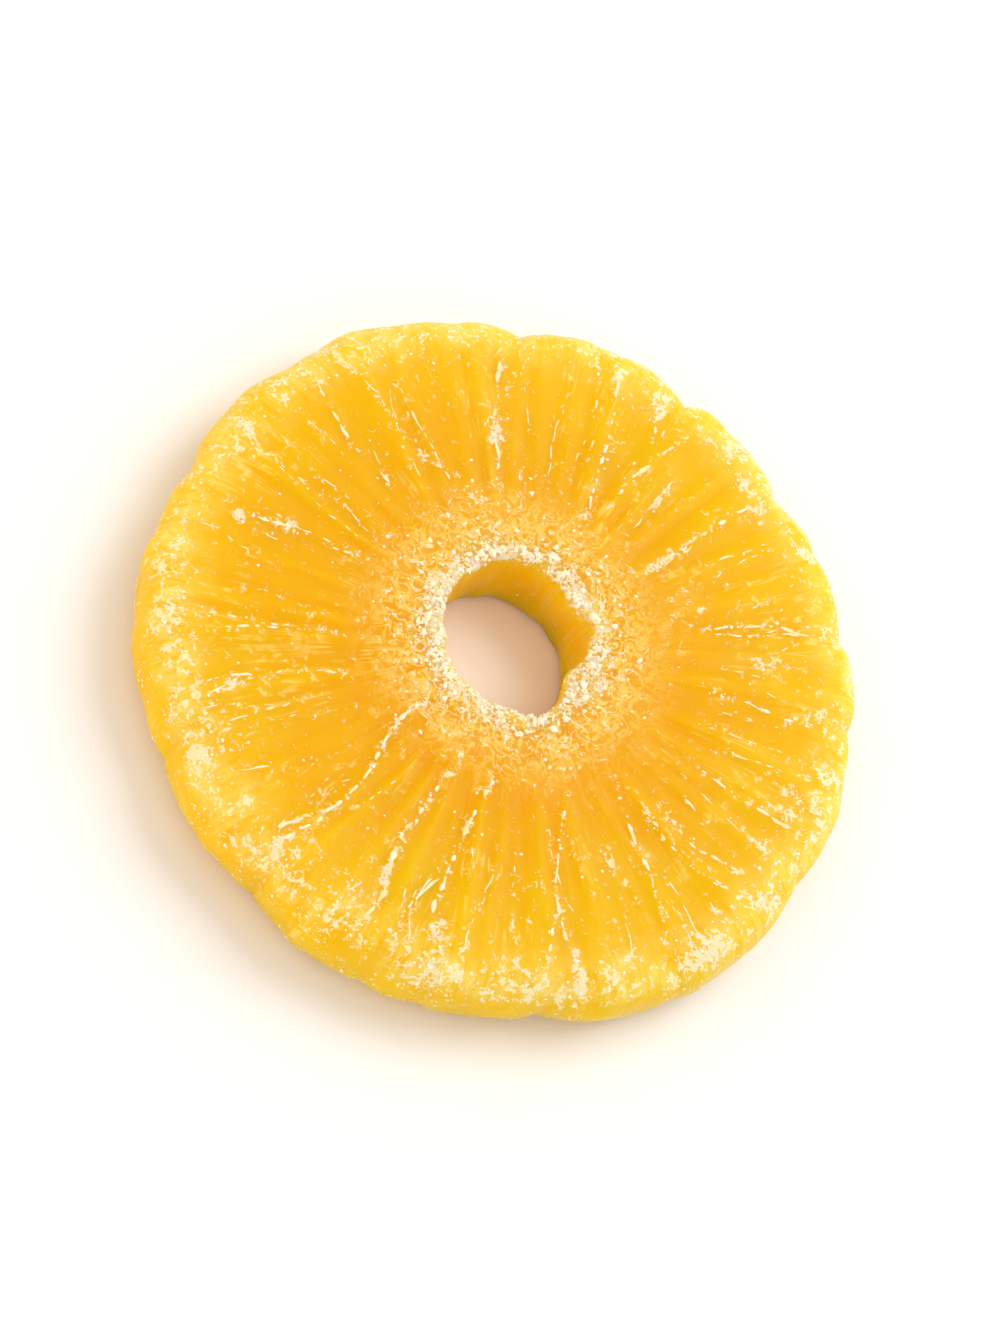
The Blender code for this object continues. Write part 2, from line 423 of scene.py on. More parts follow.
UPPER_PATCHES = (
    Patch(238, 37.0, 1.8, 1.4),
    Patch(248, 35.5, 1.6, 1.0, 0.8),
    Patch(257, 36.5, 2.6, 1.2),
    Patch(263, 36.5, 1.8, 1.2, 0.8),
    Patch(227, 31.2, 1.2, 0.8, 0.9),
    Patch(236, 33.5, 4.0, 3.0, 0.35),
    Patch(219, 34.5, 3.5, 3.0, 0.35),
    Patch(262, 35.0, 3.0, 3.0, 0.3),
    Patch(275, 30.0, 5.0, 0.7, 0.7),
    Patch(270, 34.5, 5.5, 2.2, 0.5),
    Patch(288, 32.3, 1.4, 1.0),
    Patch(289, 37.8, 2.2, 2.0),
    Patch(300, 36.5, 1.8, 2.4, 0.6),
    Patch(305, 36.8, 2.4, 1.0),
    Patch(310, 38.0, 1.6, 1.6),
    Patch(313.5, 36.5, 3.0, 0.9),
    Patch(319, 36.2, 2.0, 1.6, 0.8),
    Patch(326.5, 24.8, 2.2, 0.7),
    Patch(333, 37.0, 1.8, 2.0),
    Patch(338, 37.2, 1.8, 2.2, 0.9),
    Patch(351, 36.8, 2.0, 2.0, 0.9),
    Patch(357.5, 32.3, 2.6, 0.9),
    Patch(6.5, 33.5, 1.8, 0.9),
    Patch(10, 34.0, 4.0, 1.6, 0.8),
    Patch(16, 36.3, 1.6, 1.6, 0.9),
    Patch(26.5, 33.5, 1.6, 0.9, 0.9),
    Patch(36.5, 28.1, 3.2, 1.0, 0.9),
    Patch(55, 20.2, 1.4, 0.9),
    Patch(58, 35.7, 1.8, 1.2),
    Patch(67, 34.0, 1.8, 1.0),
    Patch(73, 34.9, 1.8, 1.2),
    Patch(69, 19.8, 3.0, 0.7),
    Patch(79, 36.5, 2.0, 1.6, 0.9),
    Patch(82.5, 26.0, 2.2, 0.5),
    Patch(94, 34.8, 1.6, 1.2),
    Patch(126.5, 24.5, 4.0, 1.2, 0.8),
    Patch(148, 22.6, 1.0, 0.8),
    Patch(176, 36.5, 1.6, 1.0, 0.9),
    Patch(189, 27.0, 1.2, 0.9),
    Patch(191.5, 31.5, 1.0, 0.9),
    Patch(205, 36.5, 3.0, 2.4, 0.4),
    Patch(215, 37.0, 2.0, 1.6, 0.6),
)


def curve_through(controls: np.ndarray, spacing: float) -> np.ndarray:
    """Evenly sampled smooth curve through control points.

    Args:
        controls: Places in metres, one row each.
        spacing: Distance between samples in metres.

    Returns:
        The samples, one row each.
    """
    ends = np.vstack((2 * controls[0] - controls[1], controls, 2 * controls[-1] - controls[-2]))
    samples = []
    for before, start, stop, after in zip(ends, ends[1:], ends[2:], ends[3:]):
        steps = max(2, round(float(np.linalg.norm(stop - start)) / spacing))
        t = (np.arange(steps) / steps)[:, None]
        samples.append(0.5 * (
            2 * start + (stop - before) * t + (2 * before - 5 * start + 4 * stop - after) * t**2
            + (3 * start - before - 3 * stop + after) * t**3
        ))
    return np.vstack((*samples, controls[-1:]))


@dataclass(frozen=True)
class FibrePlan:
    """Where the threads of fibre run: the ones that show best, and finer ones drawn between them."""

    form: SliceForm
    seed: int = 23
    spacing: float = 0.28 * MM
    drawn_step: float = 4.6
    drawn_start: tuple[float, float] = (17.0, 29.0)
    drawn_length: tuple[float, float] = (4.0, 15.0)
    drawn_end: float = 37.6
    drawn_lean: float = 5.0
    drawn_bend: float = 1.5
    drawn_unevenness: tuple[float, float] = (0.5, 1.5)
    drawn_thickness: tuple[float, float] = (0.05 * MM, 0.11 * MM)
    drawn_sugar: tuple[float, float] = (0.25, 0.6)
    wander: float = 0.30 * MM
    wander_size: float = 1.8 * MM

    def drawn(self, face: Face) -> list[Fibre]:
        """Draws the finer threads of a face.

        Args:
            face: The face that they lie on.

        Returns:
            The threads, in order round the ring.
        """
        rng = random.Random(f"{self.seed} {face.value}")
        fibres = []
        angle = 0.0
        while angle < 360.0:
            start = rng.uniform(*self.drawn_start)
            end = min(self.drawn_end, start + rng.uniform(*self.drawn_length))
            lean = rng.uniform(-self.drawn_lean, self.drawn_lean)
            bend = rng.uniform(-self.drawn_bend, self.drawn_bend)
            route = ((angle, start), (angle + lean / 2 + bend, (start + end) / 2), (angle + lean, end))
            thickness, sugar = rng.uniform(*self.drawn_thickness), rng.uniform(*self.drawn_sugar)
            fibres.append(Fibre(route, thickness, sugar, face))
            angle += self.drawn_step * rng.uniform(*self.drawn_unevenness)
        return fibres

    def fibres(self) -> list[Fibre]:
        """All the threads of both faces."""
        return [*UPPER_FIBRES, *self.drawn(Face.UPPER), *self.drawn(Face.LOWER)]

    def track(self, fibre: Fibre) -> np.ndarray:
        """The wandering route of a thread, seen from above.

        Args:
            fibre: The thread.

        Returns:
            Places on z = 0 in metres, one row each.
        """
        turns = [math.radians(angle) for angle, _ in fibre.route]
        reach = [radius * MM for _, radius in fibre.route]
        controls = np.array([(r * math.cos(t), r * math.sin(t), 0.0) for t, r in zip(turns, reach)])
        track = curve_through(controls, self.spacing)
        ways = Pattern.SWAY_X, Pattern.SWAY_Y
        sway = np.stack([noise_at(track, self.wander_size, way) for way in ways], axis=1)
        track[:, :2] += self.wander * sway
        return track


@dataclass(frozen=True)
class SugarCover:
    """Where sugar settles on the slice: the edges of its zones, and how much each of them carries.

    A pair of shares gives what is there at least, and what a pattern of clouds or wisps adds to it.
    """

    form: SliceForm
    facing: tuple[float, float] = (0.15, 0.8)
    lip_zone: tuple[float, float] = (0.6 * MM, 3.6 * MM)
    core_zone: tuple[float, float] = (2.5 * MM, 11.5 * MM)
    wall_zone: tuple[float, float] = (10.0 * MM, 12.0 * MM)
    warm_zone: tuple[float, float] = (9.0 * MM, 27.0 * MM)
    rim_zone: tuple[float, float] = (31.5 * MM, 38.0 * MM)
    cloud_size: float = 6.0 * MM
    wisp_size: float = 2.4 * MM
    rag_size: float = 1.0 * MM
    patch_rags: tuple[float, float] = (0.65, 0.7)
    patch_fade: float = 1.5
    veil_fade: float = 0.35
    face_grains: tuple[float, float] = (0.02, 0.04)
    core_grains: float = 0.24
    lip_grains: float = 0.50
    rim_grains: float = 0.58
    fibre_grains: float = 0.45
    side_grains: tuple[float, float] = (0.02, 0.20)
    base_grains: tuple[float, float] = (0.10, 0.25)
    base_fibre_grains: float = 0.3
    face_bloom: float = 0.02
    rim_bloom: float = 0.85
    rim_wisps: tuple[float, float] = (0.25, 1.1)
    lip_bloom: float = 0.50
    veil_bloom: float = 0.30
    core_bloom: tuple[float, float] = (0.05, 0.40)
    side_bloom: tuple[float, float] = (0.04, 0.22)
    warm_flesh: tuple[float, float] = (0.7, 0.4)

    def least_and_more(self, pair: tuple[float, float], pattern: np.ndarray) -> np.ndarray:
        """What is there at least, and what a pattern adds to it."""
        return pair[0] + pair[1] * pattern

    def patches(self, points: np.ndarray, fade: float) -> np.ndarray:
        """How strongly each place lies in one of the white patches.

        Args:
            points: Places in metres, one row each.
            fade: How quickly a patch fades from its middle.

        Returns:
            A strength for each place.
        """
        strongest = np.zeros(len(points))
        for patch in UPPER_PATCHES:
            turn = math.radians(patch.angle)
            outward = np.array((math.cos(turn), math.sin(turn)))
            away = points[:, :2] - outward * patch.radius * MM
            along = away @ outward / (patch.length * MM)
            across = away @ np.array((-outward[1], outward[0])) / (patch.width * MM)
            strongest = np.maximum(strongest, patch.strength * np.exp(-fade * (along**2 + across**2)))
        return strongest

    def shares(self, points: np.ndarray, normals: np.ndarray, near_fibre: np.ndarray) -> dict[str, np.ndarray]:
        """How much sugar each place carries.

        Args:
            points: Places in metres, one row each.
            normals: Their outward normals.
            near_fibre: Their nearness to a thread.

        Returns:
            Shares from 0 to 1 by name: core (the curly crust's zone), the hole's bare wall (where the flesh is
                painted a brighter yellow as glow, for light that shines through it),
            granules, bloom (a pale veil) and warmth (deep orange flesh).
        """
        _, radii = polar_of(points)
        upward = smooth_step(*self.facing, normals[:, 2])
        downward = smooth_step(*self.facing, -normals[:, 2])
        sideways = (1.0 - upward) * (1.0 - downward)
        from_lip = np.hypot(*(points[:, :2] - self.form.hole_centre).T) - self.form.hole_radius
        lip = 1.0 - smooth_step(*self.lip_zone, from_lip)
        core = 1.0 - smooth_step(*self.core_zone, from_lip)
        rim = smooth_step(*self.rim_zone, radii)
        # The hole's bare wall, which the flesh material paints a brighter yellow: a painted glow for the light
        # that shines through the flesh.
        painted_glow_wall = sideways * (1.0 - smooth_step(*self.wall_zone, radii))
        clouds = 0.5 + 0.5 * noise_at(points, self.cloud_size, Pattern.CLOUDS)
        wisps = 0.5 + 0.5 * noise_at(points, self.wisp_size, Pattern.WISPS)
        ragged = self.least_and_more(self.patch_rags, noise_at(points, self.rag_size, Pattern.RAGS))
        veils = self.patches(points, self.veil_fade)

        granules = self.least_and_more(self.face_grains, clouds) + self.core_grains * core
        granules += self.lip_grains * lip + self.rim_grains * rim * wisps
        granules += self.fibre_grains * near_fibre + self.patches(points, self.patch_fade) * ragged
        granules *= upward
        granules += sideways * (1.0 - painted_glow_wall) * self.least_and_more(self.side_grains, wisps)
        beneath = self.least_and_more(self.base_grains, clouds) + self.base_fibre_grains * near_fibre
        granules += downward * beneath

        bloom = self.face_bloom * clouds + self.rim_bloom * rim * self.least_and_more(self.rim_wisps, wisps)
        bloom += self.lip_bloom * lip + self.veil_bloom * veils * wisps
        bloom += core * self.least_and_more(self.core_bloom, wisps)
        bloom *= upward
        bloom += (1.0 - upward) * (1.0 - painted_glow_wall) * self.least_and_more(self.side_bloom, wisps * clouds)
        warmth = (1.0 - smooth_step(*self.warm_zone, radii)) * self.least_and_more(self.warm_flesh, clouds)
        return {
            "core": core * upward,
            "painted_glow_wall": painted_glow_wall,
            "granules": np.clip(granules, 0.0, 1.0),
            "bloom": np.clip(bloom, 0.0, 1.0),
            "warmth": np.clip(warmth * (1.0 - painted_glow_wall), 0.0, 1.0),
        }


@dataclass
class FleshRing:
    """The candied slice itself: one closed skin, ridged, crusted at the core, and marked where sugar sits."""

    form: SliceForm
    fibre_plan: FibrePlan
    cover: SugarCover
    steps_around: int = 600
    steps_core: int = 42
    steps_face: int = 52
    steps_rim: int = 26
    steps_base: int = 24
    steps_lip: int = 4
    steps_wall: int = 8
    crust_height: float = 0.42 * MM
    crust_size: float = 1.15 * MM
    crumb_height: float = 0.16 * MM
    crumb_size: float = 0.5 * MM
    crust_zone: tuple[float, float] = (9.5 * MM, 17.5 * MM)
    streak_height: float = 0.06 * MM
    streak_waves: float = 26.0
    streak_length: float = 9.0 * MM
    dimple_height: float = 0.08 * MM
    dimple_size: float = 2.6 * MM
    grit_height: float = 0.035 * MM
    grit_size: float = 0.8 * MM
    fibre_ridge: float = 0.08 * MM
    fibre_reach: float = 0.55 * MM
    relief_facing: tuple[float, float] = (-0.1, 0.7)
    contact_zone: tuple[float, float] = (0.2 * MM, 1.2 * MM)
    middle: np.ndarray = field(default_factory=lambda: np.zeros(3))

    def straight(self, start: tuple[float, float], end: tuple[float, float], steps: int) -> np.ndarray:
        """Evenly spaced section points from start towards end, without the end."""
        return np.array(start) + np.outer(np.arange(steps) / steps, np.subtract(end, start))

    def corner(self, centre: tuple[float, float], reach: tuple[float, float], turn: tuple[float, float],
               steps: int, squareness: float) -> np.ndarray:
        """Section points of a rounded corner, without its last point.

        Args:
            centre: Middle of the corner as (radius, height).
            reach: How far it reaches each way.
            turn: First and last angle in degrees.
            steps: Number of points.
            squareness: 2 for an ellipse, more for a squarer corner.

        Returns:
            The points as (radius, height), one row each.
        """
        angles = np.radians(np.linspace(*turn, steps, endpoint=False))
        across = np.abs(np.cos(angles)) ** (2.0 / squareness) * np.sign(np.cos(angles))
        upwards = np.abs(np.sin(angles)) ** (2.0 / squareness) * np.sign(np.sin(angles))
        return np.array(centre) + np.stack((across, upwards), axis=1) * reach

    def section(self) -> np.ndarray:
        """The closed section, down its outer side and up the hole's wall.

        Returns:
            Points as (radius, height) in metres, one row each.
        """
        form = self.form
        half, top = form.thickness / 2.0, form.thickness
        rim_at, lip_at = form.ring_radius - form.rim_reach, form.hole_radius + form.lip_reach
        rim, lip = (form.rim_reach, half), (form.lip_reach, form.lip_drop)
        upper, lower = top - form.lip_drop, form.lip_drop
        return np.vstack((
            self.straight((lip_at, top), (form.core_zone, top), self.steps_core),
            self.straight((form.core_zone, top), (rim_at, top), self.steps_face),
            self.corner((rim_at, half), rim, (90, -90), self.steps_rim, form.rim_squareness),
            self.straight((rim_at, 0.0), (lip_at, 0.0), self.steps_base),
            self.corner((lip_at, lower), lip, (270, 180), self.steps_lip, 2.0),
            self.straight((form.hole_radius, lower), (form.hole_radius, upper), self.steps_wall),
            self.corner((lip_at, upper), lip, (180, 90), self.steps_lip, 2.0),
        ))

    def grid_normals(self, grid: np.ndarray) -> np.ndarray:
        """Outward normals of a closed grid of points.

        Args:
            grid: Points by section step and step around.

        Returns:
            A unit normal for each point.
        """
        along = np.roll(grid, -1, axis=0) - np.roll(grid, 1, axis=0)
        around = np.roll(grid, -1, axis=1) - np.roll(grid, 1, axis=1)
        normals = np.cross(along, around)
        return normals / np.maximum(np.linalg.norm(normals, axis=2, keepdims=True), 1e-12)

    def fibre_nearness(self, points: np.ndarray, face: Face) -> np.ndarray:
        """How near each place is to a thread of a face, seen from above.

        Args:
            points: Places in metres, one row each.
            face: Which face's threads count.

        Returns:
            0 far from every thread to about 1 on a well sugared one.
        """
        tracks, strengths = [], []
        for fibre in self.fibre_plan.fibres():
            if fibre.face is face:
                track = self.fibre_plan.track(fibre)
                tracks.append(track)
                strengths.append(np.full(len(track), fibre.sugar))
        places, strength = np.vstack(tracks), np.concatenate(strengths)
        tree = KDTree(len(places))
        for index, place in enumerate(places):
            tree.insert(place, index)
        tree.balance()
        found = [tree.find((x, y, 0.0)) for x, y in points[:, :2].tolist()]
        away = np.array([hit[2] for hit in found]) / self.fibre_reach
        return strength[[hit[1] for hit in found]] * np.exp(-away * away)

    def fine_relief(self, points: np.ndarray, normals: np.ndarray, near_fibre: np.ndarray) -> np.ndarray:
        """Height of the crust, streaks, dimples and grit above the slice's own form.

        Args:
            points: Places in metres, one row each.
            normals: Their outward normals.
            near_fibre: Their nearness to a thread.

        Returns:
            A height in metres for each place.
        """
        angles, radii = polar_of(points)
        turns = np.radians(angles)
        upward = smooth_step(*self.relief_facing, normals[:, 2])
        core = (1.0 - smooth_step(*self.crust_zone, radii)) * upward
        crust = np.abs(noise_at(points, self.crust_size, Pattern.CRUST)) * self.crust_height
        crumbs = np.abs(noise_at(points, self.crumb_size, Pattern.CRUMBS)) * self.crumb_height
        around = np.stack((np.cos(turns), np.sin(turns), np.zeros_like(turns)), axis=1) * self.streak_waves
        around[:, 2] = radii / self.streak_length
        streaks = self.streak_height * noise_at(around, 1.0, Pattern.STREAKS) * (1.0 - core)
        dimples = self.dimple_height * noise_at(points, self.dimple_size, Pattern.DIMPLES)
        grit = self.grit_height * noise_at(points, self.grit_size, Pattern.GRIT)
        flat_base = smooth_step(*self.contact_zone, points[:, 2])
        raised = core * (crust + crumbs) + streaks + dimples + grit + self.fibre_ridge * near_fibre * upward
        return flat_base * raised

    def unwrap(self, mesh: bpy.types.Mesh, rows: int) -> None:
        """Lays the skin out flat, section along one side and turn along the other.

        Args:
            mesh: The skin.
            rows: Number of section steps.
        """
        layer = mesh.uv_layers.new(name="OFBake")
        row, column = np.divmod(np.arange(rows * self.steps_around), self.steps_around)
        u = np.stack((column, column, column + 1, column + 1), axis=1) / self.steps_around
        v = np.stack((row, row + 1, row + 1, row), axis=1) / rows
        layer.data.foreach_set("uv", np.stack((u, v), axis=2).astype(np.float32).ravel())

    def build(self) -> bpy.types.Object:
        """Makes the skin as a mesh with its sugar marks.

        Returns:
            The ring.
        """
        section = self.section()
        turns = np.arange(self.steps_around) / self.steps_around * math.tau
        blank = np.stack((
            np.outer(section[:, 0], np.cos(turns)),
            np.outer(section[:, 0], np.sin(turns)),
            np.repeat(section[:, 1:], self.steps_around, axis=1),
        ), axis=2)
        points = self.form.shaped(blank.reshape(-1, 3))
        self.middle[:2] = (points[:, :2].min(axis=0) + points[:, :2].max(axis=0)) / 2.0

        normals = self.grid_normals(points.reshape(blank.shape)).reshape(-1, 3)
        near_upper = self.fibre_nearness(points, Face.UPPER)
        near_lower = self.fibre_nearness(points, Face.LOWER)
        near_fibre = np.where(normals[:, 2] > 0.0, near_upper, near_lower)
        points += normals * self.fine_relief(points, normals, near_fibre)[:, None]
        points[:, 2] = np.maximum(points[:, 2], 0.0)

        rows = len(section)
        row, column = np.divmod(np.arange(rows * self.steps_around), self.steps_around)
        below, beside = (row + 1) % rows, (column + 1) % self.steps_around
        corners = ((row, column), (below, column), (below, beside), (row, beside))
        faces = np.stack([r * self.steps_around + c for r, c in corners], axis=1)
        sugar = self.cover.shares(points, normals, near_fibre)
        mesh = bpy.data.meshes.new("candied_flesh_ring")
        mesh.from_pydata((points - self.middle).tolist(), [], faces.tolist())
        mesh.shade_smooth()
        for name, share in sugar.items():
            mesh.attributes.new(name, "FLOAT", "POINT").data.foreach_set("value", share.astype(np.float32))
        self.unwrap(mesh, rows)
        ring = bpy.data.objects.new("candied_flesh_ring", mesh)
        bpy.context.scene.collection.objects.link(ring)
        return ring


@dataclass
class FibreThreads:
    """Sugared threads of fibre, half sunk in one face of the flesh."""

    plan: FibrePlan
    flesh: FleshRing
    ring: bpy.types.Object
    face: Face
    sides: int = 6
    breadth: float = 1.25
    depth: float = 0.70
    sink: float = 0.40
    lump_size: float = 0.9 * MM
    lump_middle: float = 0.30
    lump_swing: float = 1.5
    lump_most: float = 1.2
    thinnest: float = 0.25
    taper_steps: int = 8
    tip: float = 0.03
    lowest: float = 0.02 * MM
    drop: float = 30.0 * MM

    def laid(self, track: np.ndarray, tree: BVHTree) -> tuple[np.ndarray, np.ndarray]:
        """Drops a track onto the flesh.

        Args:
            track: Places on z = 0, one row each.
            tree: The skin.

        Returns:
            The places on the skin and its normals there, up to the first that misses it.
        """
        upper = self.face is Face.UPPER
        start_height, direction = (self.drop, Vector((0, 0, -1))) if upper else (-self.drop, Vector((0, 0, 1)))
        places, normals = [], []
        for x, y, _ in (track - self.flesh.middle).tolist():
            place, normal, _, _ = tree.ray_cast(Vector((x, y, start_height)), direction)
            if place is None:
                break
            places.append(place)
            normals.append(normal)
        return np.array(places), np.array(normals)

    def tube(self, fibre: Fibre, tree: BVHTree) -> tuple[np.ndarray, np.ndarray]:
        """Makes one lumpy thread.

        Args:
            fibre: The thread.
            tree: The skin.

        Returns:
            Its points, and its faces as rows of four point numbers.
        """
        places, normals = self.laid(self.plan.track(fibre), tree)
        count = len(places)
        along = np.gradient(places, axis=0)
        along /= np.linalg.norm(along, axis=1, keepdims=True)
        beside = np.cross(normals, along)
        beside /= np.linalg.norm(beside, axis=1, keepdims=True)

        lumps = self.lump_middle + self.lump_swing * noise_at(places, self.lump_size, Pattern.THREAD_LUMPS)
        from_end = np.minimum(np.arange(count), np.arange(count)[::-1]) / self.taper_steps
        reach = fibre.thickness * (self.thinnest + np.clip(lumps, 0.0, self.lump_most))
        reach *= np.clip(from_end, self.tip, 1.0)
        turns = np.arange(self.sides) / self.sides * math.tau
        outward = beside[:, None] * (np.cos(turns) * self.breadth)[None, :, None]
        outward = outward + normals[:, None] * (np.sin(turns) * self.depth)[None, :, None]
        centres = places - normals * (self.sink * fibre.thickness)
        points = (centres[:, None] + outward * reach[:, None, None]).reshape(-1, 3)
        points[:, 2] = np.maximum(points[:, 2], self.lowest)

        ring, side = np.divmod(np.arange((count - 1) * self.sides), self.sides)
        beyond = (side + 1) % self.sides
        corners = ((ring, side), (ring, beyond), (ring + 1, beyond), (ring + 1, side))
        return points, np.stack([r * self.sides + s for r, s in corners], axis=1)

    def build(self) -> bpy.types.Object:
        """Joins the threads of the face in one mesh.

        Returns:
            The threads.
        """
        tree = BVHTree.FromObject(self.ring, bpy.context.evaluated_depsgraph_get())
        all_points, all_faces, made = [], [], 0
        for fibre in self.plan.fibres():
            if fibre.face is self.face:
                points, faces = self.tube(fibre, tree)
                last = made + len(points) - self.sides
                caps = [
                    tuple(reversed(range(made, made + self.sides))),
                    tuple(range(last, last + self.sides)),
                ]
                all_points.append(points)
                all_faces += [tuple(row) for row in (faces + made).tolist()] + caps
                made += len(points)
        mesh = bpy.data.meshes.new(f"fibre_threads_{self.face.value}")
        mesh.from_pydata(np.vstack(all_points).tolist(), [], all_faces)
        mesh.shade_smooth()
        threads = bpy.data.objects.new(mesh.name, mesh)
        bpy.context.scene.collection.objects.link(threads)
        return threads


class GrainShape(Enum):
    """How finely a grain of sugar is cut: the subdivisions of the ball it starts from."""

    CRYSTAL = 1
    LUMP = 2


class Gathering(Enum):
    """Where a kind of grain gathers."""

    FACE = "over the upper face, along fibres and patches"
    CRUST = "round the hole's upper lip"
    OUTSIDE = "on the rim and the underside"


@dataclass(frozen=True)
class GrainBatch:
    """One kind of sugar grain: its number, half widths, flatness and how deep it sits."""

    name: str
    shape: GrainShape
    gathering: Gathering
    count: int
    size: tuple[float, float]
    flatness: float
    sunk: float
    seed: int


GRAIN_BATCHES = (
    GrainBatch(
        "sugar_grains_upper", GrainShape.CRYSTAL, Gathering.FACE,
        count=2600, size=(0.06 * MM, 0.20 * MM), flatness=0.7, sunk=0.4, seed=41,
    ),
    GrainBatch(
        "sugar_crust_lip", GrainShape.LUMP, Gathering.CRUST,
        count=1000, size=(0.12 * MM, 0.36 * MM), flatness=0.6, sunk=0.75, seed=42,
    ),
    GrainBatch(
        "sugar_grains_outer", GrainShape.CRYSTAL, Gathering.OUTSIDE,
        count=3000, size=(0.05 * MM, 0.18 * MM), flatness=0.7, sunk=0.4, seed=43,
    ),
)


@dataclass
class SugarGrains:
    """Grains of sugar of one kind, scattered over the flesh as real meshes."""

    batch: GrainBatch
    flesh: FleshRing
    ring: bpy.types.Object
    raggedness: float = 0.28
    stretch: tuple[float, float] = (0.7, 1.35)
    tilt: float = 0.35
    size_skew: int = 3
    lowest: float = 0.02 * MM
    facing: tuple[float, float] = (0.2, 0.7)
    face_least: float = 0.006
    face_sharpness: float = 2.2
    clump_edges: tuple[float, float] = (-0.1, 0.4)
    crust_clump: float = 1.6 * MM
    crust_clump_least: float = 0.25
    crust_from_lip: float = 0.9 * MM
    crust_width: float = 1.3 * MM
    stray_share: float = 0.10
    stray_width: float = 5.0 * MM
    outer_clump: float = 2.6 * MM
    outer_clump_least: float = 0.08
    outer_least: float = 0.01
    outer_zone: tuple[float, float] = (12.0 * MM, 14.0 * MM)
    wall_share: float = 0.04
    contact_height: float = 0.45 * MM

    def clumps(self, centres: np.ndarray, size: float) -> np.ndarray:
        """How clumped the grains are at many places, from 0 to 1."""
        return smooth_step(*self.clump_edges, noise_at(centres, size, Pattern.CLUMPS))

    def liking(self, centres: np.ndarray, normals: np.ndarray, granules: np.ndarray) -> np.ndarray:
        """How readily grains settle on each face of the skin.

        Args:
            centres: The faces' middles.
            normals: Their normals.
            granules: Their share of sugar.

        Returns:
            A density for each face.
        """
        form = self.flesh.form
        upward = smooth_step(*self.facing, normals[:, 2])
        if self.batch.gathering is Gathering.FACE:
            return upward * (self.face_least + granules**self.face_sharpness)
        if self.batch.gathering is Gathering.CRUST:
            from_axis = np.hypot(*(centres[:, :2] + self.flesh.middle[:2] - form.hole_centre).T)
            from_lip = from_axis - form.hole_radius
            near = np.exp(-((from_lip - self.crust_from_lip) / self.crust_width) ** 2)
            near += self.stray_share * np.exp(-((from_lip / self.stray_width) ** 2))
            return upward * near * (self.crust_clump_least + self.clumps(centres, self.crust_clump))
        clear_of_tray = smooth_step(self.contact_height / 2.0, self.contact_height, centres[:, 2])
        outer = smooth_step(*self.outer_zone, np.hypot(*centres[:, :2].T))
        bare = clear_of_tray * (self.wall_share + (1.0 - self.wall_share) * outer)
        clumped = self.outer_clump_least + self.clumps(centres, self.outer_clump)
        return (1.0 - upward) * bare * (self.outer_least + granules**2) * clumped

    def settle(self, rng: np.random.Generator) -> tuple[np.ndarray, np.ndarray]:
        """Chooses where the grains lie.

        Args:
            rng: The seeded generator.

        Returns:
            The places and the skin's normals there, one row each.
        """
        mesh = self.ring.data
        count = len(mesh.polygons)
        places = np.empty(len(mesh.vertices) * 3)
        mesh.vertices.foreach_get("co", places)
        corners = np.empty(count * 4, int)
        mesh.polygons.foreach_get("vertices", corners)
        granules = np.empty(len(mesh.vertices))
        mesh.attributes["granules"].data.foreach_get("value", granules)
        corners, places = corners.reshape(-1, 4), places.reshape(-1, 3)
        quads = places[corners]
        normals = np.cross(quads[:, 2] - quads[:, 0], quads[:, 3] - quads[:, 1])
        area = np.linalg.norm(normals, axis=1)
        normals /= np.maximum(area, 1e-15)[:, None]
        density = self.liking(quads.mean(axis=1), normals, granules[corners].mean(axis=1)) * area
        chosen = rng.choice(count, self.batch.count, p=density / density.sum())
        u, v = rng.random((2, self.batch.count, 1))
        a, b, c, d = (quads[chosen, corner] for corner in range(4))
        return (1 - v) * ((1 - u) * a + u * b) + v * ((1 - u) * d + u * c), normals[chosen]

    def build(self) -> bpy.types.Object:
        """Makes the grains as one joined mesh.

        Returns:
            The grains.
        """
        rng = np.random.default_rng(self.batch.seed)
        places, normals = self.settle(rng)
        count = len(places)
        ball = bmesh.new()
        bmesh.ops.create_icosphere(ball, subdivisions=self.batch.shape.value, radius=1.0)
        corners = np.array([vertex.co for vertex in ball.verts])
        faces = np.array([[vertex.index for vertex in face.verts] for face in ball.faces])
        ball.free()

        low, high = self.batch.size
        sizes = low + (high - low) * rng.random(count) ** self.size_skew
        aside = np.cross(normals, rng.normal(size=(count, 3)))
        aside /= np.linalg.norm(aside, axis=1, keepdims=True)
        frames = np.stack((aside, np.cross(normals, aside), normals), axis=1)
        stretch = rng.uniform(*self.stretch, (count, 1, 3)) * (1.0, 1.0, self.batch.flatness)
        ragged = 1.0 + self.raggedness * rng.uniform(-1.0, 1.0, (count, len(corners), 1))
        tilt = rng.normal(scale=self.tilt, size=(count, 1, 3))
        shaped = corners[None] * ragged * stretch * sizes[:, None, None]
        shaped = shaped + np.cross(tilt, shaped)
        centres = places - normals * (self.batch.sunk * sizes * self.batch.flatness)[:, None]
        points = np.einsum("nki,nij->nkj", shaped, frames) + centres[:, None]
        points[:, :, 2] = np.maximum(points[:, :, 2], self.lowest)

        offsets = np.arange(count)[:, None, None] * len(corners)
        mesh = bpy.data.meshes.new(self.batch.name)
        mesh.from_pydata(points.reshape(-1, 3).tolist(), [], (faces[None] + offsets).reshape(-1, 3).tolist())
        if self.batch.shape is GrainShape.LUMP:
            mesh.shade_smooth()
        grains = bpy.data.objects.new(self.batch.name, mesh)
        bpy.context.scene.collection.objects.link(grains)
        return grains


@dataclass(frozen=True)
class Speckle:
    """A pattern of noise: lumps for each unit, number and strength of finer layers, and how far it is warped."""

    scale: float
    detail: float = 2.0
    roughness: float = 0.5
    distortion: float = 0.0


@dataclass(frozen=True)
class Ray:
    """A pattern drawn out along the radius: its waves round the ring and its lumps for each metre outwards."""

    waves: float
    outwards: float
    speckle: Speckle


